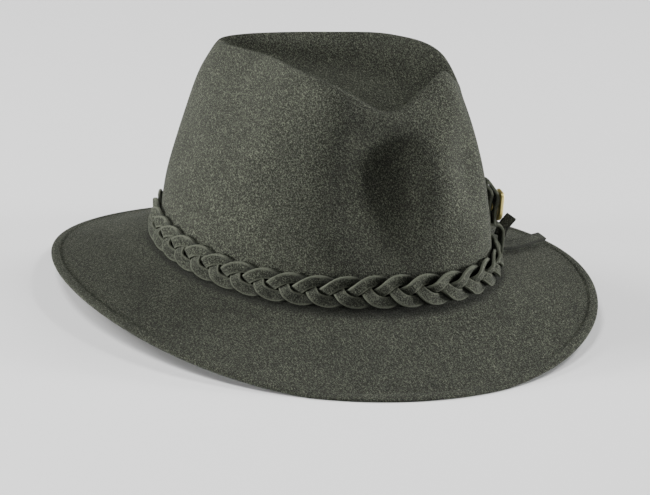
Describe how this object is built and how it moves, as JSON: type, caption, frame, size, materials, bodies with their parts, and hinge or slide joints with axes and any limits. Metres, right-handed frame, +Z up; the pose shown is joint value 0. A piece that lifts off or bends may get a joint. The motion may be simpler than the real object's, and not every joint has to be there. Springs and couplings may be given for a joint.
{
  "type": "hunting hat",
  "caption": "Olive felt hat with a dented crown, a drooping brim, a plaited felt band knotted at the side and a small bare badge.",
  "frame": {"origin": "on the surface that the brim rests on, under the middle of the hat's bounding box", "axes": "+Z up, -Y towards the hat's front, +X towards the wearer's left"},
  "size_m": [0.3102, 0.338, 0.1525],
  "materials": {
    "body_felt": "dark olive wool felt with pale flecks",
    "band_felt": "cut felt strips, paler along their edges",
    "badge_metal": "pale gilt, bare, dulled low down"
  },
  "bodies": {
    "root": {"felt_body": "body_felt", "plait_strand_1": "band_felt", "plait_strand_2": "band_felt", "plait_strand_3": "band_felt", "band_keeper": "band_felt", "band_loop": "band_felt", "tail_short": "band_felt", "tail_long": "band_felt", "badge": "badge_metal"}
  },
  "joints": []
}
